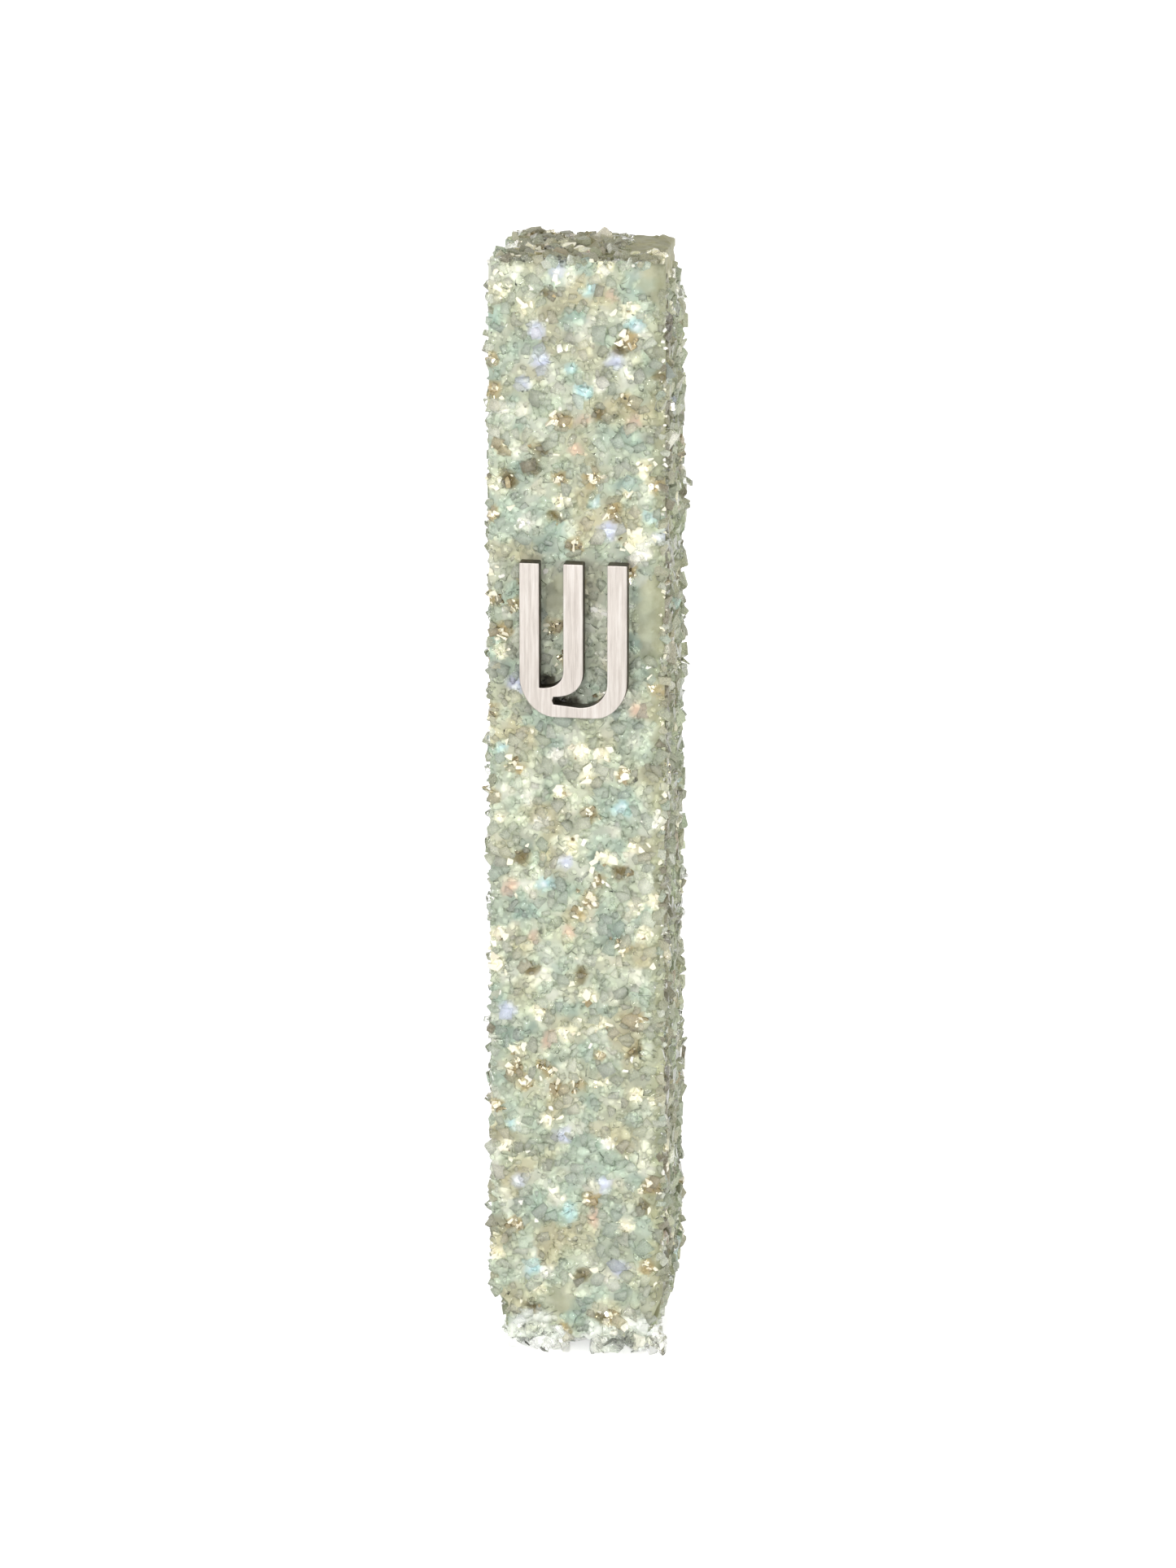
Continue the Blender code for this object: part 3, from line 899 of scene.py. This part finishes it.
def crushed_glass(face, pavement, accents, chance):
    """Heaps of chips by layer and material."""
    heaps = {}

    def drop(layer, kind, across, along, size, proud, tint):
        rise, _, accent = pavement.look(across, along)
        if accent != "shade" and not empty(face, across, along):
            heap = heaps.setdefault((kind, layer), Heap())
            surface = level(face, across, along, rise)
            shape = (0.35, 0.9) if kind in ("pearl", "foil") else (0.6, 1.0)
            chip(heap, face, across, along, surface, size, proud, srgb(*tint), chance, shape)

    see_through, stands = ("wet", 0.55) if face.name == "front" else ("clear", 1.0)
    for kind, spot, size in accents:
        place = spot - face.corner
        across, along = place.dot(face.u), place.dot(face.v)
        for made_of, tint, count, share in CLUSTERS.get(kind, ()):
            for _ in range(count):
                shift, lift = chance.gauss(0, 0.35) * size, chance.gauss(0, 0.25) * size
                chip_size = size * share * chance.uniform(0.6, 1.2)
                drop("large", made_of, across + shift, along + lift, chip_size, stands, TINTS[tint])
    for layer, spacing, smallest, largest, usual, clear_share, proud in face.layers:
        for across, along in scatter(face, spacing * MM, chance):
            tint = pavement.look(across, along)[1]
            light = 1 + chance.gauss(0, 0.05)
            tint = [min(255.0, channel * light * (1 + chance.gauss(0, 0.008))) for channel in tint]
            kind = see_through if chance.random() < clear_share else "milky"
            # some small chips are white or cream: painted glints
            if layer == "small" and chance.random() < PAINTED_GLINT_SHARE:
                kind, tint = "pearl", TINTS[chance.choice(("pearl", "cream", "cream"))]
            stands = proud + chance.uniform(-0.2, 0.2)
            size = chance.triangular(smallest, largest, usual) * MM
            drop(layer, kind, across, along, size, stands, tint)
    return heaps


def foot_chips(glass, chance):
    """Clear and white chips hanging along the bottom edge of the front; the white ones are painted light,
    for the surroundings seen through clear glass.
    """
    low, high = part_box("front_glass_coat")
    heaps = {"thin": Heap(), "milky": Heap(), "pearl": Heap()}
    for start, end in FOOT_ROWS:
        count = round((end - start) / FOOT_SPACING)
        for index in range(count):
            x = (start + (index + chance.random()) * (end - start) / count) * MM
            rise = chance.random() ** 1.6
            y = low.y + chance.uniform(-0.1, 1.0) * (1 - rise) * MM
            place = (x, y, low.z + (FOOT_RISE * rise - 0.15) * MM)
            kind = chance.choice(("thin", "thin", "thin", "thin", "milky", "pearl"))
            size = chance.uniform(*FOOT_SIZES) * MM * (0.5 if kind == "pearl" else 1.0)
            basis = turn(tuple(direction(chance)), chance.uniform(0, math.pi))
            tint = srgb(*chance.choice(FOOT_TINTS))
            heaps[kind].add(np.array(place), basis, np.array((size, size * 0.8, size * 0.7)), tint, chance)
    return [heap.build(f"hanging_{kind}", glass[kind], CRISP) for kind, heap in heaps.items()]


def steps(count, spacing):
    return [spacing * index for index in range(count)]


def rim_chips(glass, chance):
    """Chips set astride the front's top and side edges and along the left edge of the top."""
    low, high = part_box("front_glass_coat")
    front = low.y + 1.0 * MM
    heaps = {"milky": Heap(), "clear": Heap(), "pearl": Heap()}
    spots = [(low.x + (0.3 + step) * MM, front, high.z) for step in steps(*TOP_RIM)]
    spots += [(high.x - 0.2 * MM, front, low.z + (RIM_FOOT + step) * MM) for step in steps(*RIGHT_RIM)]
    spots += [(low.x + 0.3 * MM, front, low.z + (RIM_FOOT + step) * MM) for step in steps(*LEFT_RIM)]
    inward, under = low.x + 1.2 * MM, high.z - 0.5 * MM
    spots += [(inward, low.y + (2.0 + step) * MM, under) for step in steps(*BACKWARD_RIM)]
    for spot in spots:
        place = np.array([coordinate + chance.uniform(-0.35, 0.35) * MM for coordinate in spot])
        # the white and cream rim chips are painted glints
        kind = chance.choice(("milky", "milky", "clear", "clear", "pearl"))
        tint = TINTS[chance.choice(("cream", "pearl") if kind == "pearl" else RIM_TINTS)]
        size = chance.uniform(*RIM_SIZES) * MM * (0.4 if kind == "pearl" else 1.0)
        basis = turn(tuple(direction(chance)), chance.uniform(0, math.pi))
        heaps[kind].add(place, basis, np.array((size, size * 0.8, size * 0.6)), srgb(*tint), chance)
    return [heap.build(f"rim_{kind}", glass[kind], CRISP) for kind, heap in heaps.items()]


def loose_shards(glass, chance):
    """Longer shards standing out of the sides."""
    heap = Heap()
    for side, z, out, length in LOOSE:
        low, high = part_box(("left" if side < 0 else "right") + "_glass_coat")
        x = (low.x if side < 0 else high.x) + side * (out - 0.5) * MM
        y = low.y + 1.0 * MM if side < 0 else high.y - chance.uniform(2.0, 4.0) * MM
        basis = turn((0, 1, 0), chance.uniform(-0.6, 0.6))
        size = np.array((length, 0.9, 0.8)) * MM
        heap.add(np.array((x, y, z * MM)), basis, size, srgb(206, 208, 190), chance)
    return heap.build("loose_shards", glass["clear"], CRISP)


def wet_look(face, kind):
    """How far the resin has rounded off the chips: wholly on the front, partly on the other faces."""
    if kind not in ("clear", "wet", "milky"):
        return 0
    return 180 if face.name == "front" else 50


def coat_case():
    glass = chip_materials()
    resin = resin_material("set_resin")
    chance = random.Random(20)
    loose = [*foot_chips(glass, chance), loose_shards(glass, chance), *rim_chips(glass, chance)]
    for face in coated_faces():
        accents = accents_of(face, chance)
        pavement = Pavement(face, accents, chance)
        piece = bed(face, pavement, resin)
        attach(piece, "case")
        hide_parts(face.name + "_glass_coat")
        for (kind, layer), heap in crushed_glass(face, pavement, accents, chance).items():
            loose.append(heap.build(f"{face.name}_{kind}_{layer}", glass[kind], wet_look(face, kind)))
    for chips in loose:
        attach(chips, "case")


def dress_cad():
    for name, finish in cad_finishes().items():
        for slot in NODES[name].material_slots:
            slot.material = finish


# ---------------------------------------------------------------- studio


def area_light(name, place, size, radiance):
    """A soft light aimed at the case, whose face shines as brightly as asked."""
    data = bpy.data.lights.new(name, "AREA")
    data.shape = "RECTANGLE"
    data.size, data.size_y = size
    data.energy = radiance * math.pi * size[0] * size[1]
    lamp = bpy.data.objects.new(name, data)
    lamp.location = place
    lamp.rotation_mode = "QUATERNION"
    lamp.rotation_quaternion = (-Vector(place)).to_track_quat("-Z", "Y")
    bpy.context.scene.collection.objects.link(lamp)


def seen_or_lit(tree, seen, lit):
    """One strength for what is seen, straight or through glass, and another for what lights the scene."""
    path = tree.nodes.new("ShaderNodeLightPath")
    looking = tree.nodes.new("ShaderNodeMath")
    looking.operation = "MAXIMUM"
    tree.links.new(path.outputs["Is Camera Ray"], looking.inputs[0])
    tree.links.new(path.outputs["Is Transmission Ray"], looking.inputs[1])
    strength = tree.nodes.new("ShaderNodeMapRange")
    strength.inputs["To Min"].default_value = lit
    strength.inputs["To Max"].default_value = seen
    tree.links.new(looking.outputs["Value"], strength.inputs["Value"])
    return strength.outputs["Result"]


# Brightness as seen, and as it lights the case, of the white surroundings and of the floor
SURROUNDINGS = (1.0, 0.585)
FLOOR_GLOW = (0.5, 0.1)

# Small bright lights for the glints
SPARKS = [(-0.2, -1.1, 0.45), (0.25, -1.15, 0.2), (-0.6, -0.95, 0.0), (0.1, -0.95, 0.75)]

# The floor lies under the hanging chips
FLOOR_GAP = 1.2 * MM


def studio():
    world = bpy.data.worlds.new("studio")
    bpy.context.scene.world = world
    world.use_nodes = True
    background = world.node_tree.nodes["Background"]
    background.inputs["Color"].default_value = (1, 1, 1, 1)
    world.node_tree.links.new(seen_or_lit(world.node_tree, *SURROUNDINGS), background.inputs["Strength"])

    area_light("key", (-0.4, -1.1, 0.25), (0.9, 0.9), 1.13)
    for index, place in enumerate(SPARKS):
        area_light(f"spark_{index}", place, (0.08, 0.08), 42.0)
    area_light("fill", (1.2, -0.4, 0.1), (0.9, 0.9), 3.4)
    area_light("back_fill", (-1.1, 0.8, 0.5), (1.0, 1.0), 2.6)

    floor_height = CAD_BOX[0].z - FLOOR_GAP
    bpy.ops.mesh.primitive_circle_add(
        vertices=64,
        radius=3.0,
        fill_type="NGON",
        location=(0, 0, floor_height),
    )
    floor = bpy.context.object
    floor.name = "floor"
    pale = Nodes("pale_floor", Roughness=0.9)
    pale.colour(pale.ramp(pale.noise(3.0), even_stops((0.93, 0.93, 0.93), (0.96, 0.96, 0.96))))
    pale.shader.inputs["Emission Color"].default_value = (1, 1, 1, 1)
    pale.link(seen_or_lit(pale.tree, *FLOOR_GLOW), pale.shader.inputs["Emission Strength"])
    floor.data.materials.append(pale.material)
    bpy.context.scene.view_settings.view_transform = "Standard"


coat_case()
dress_cad()
studio()
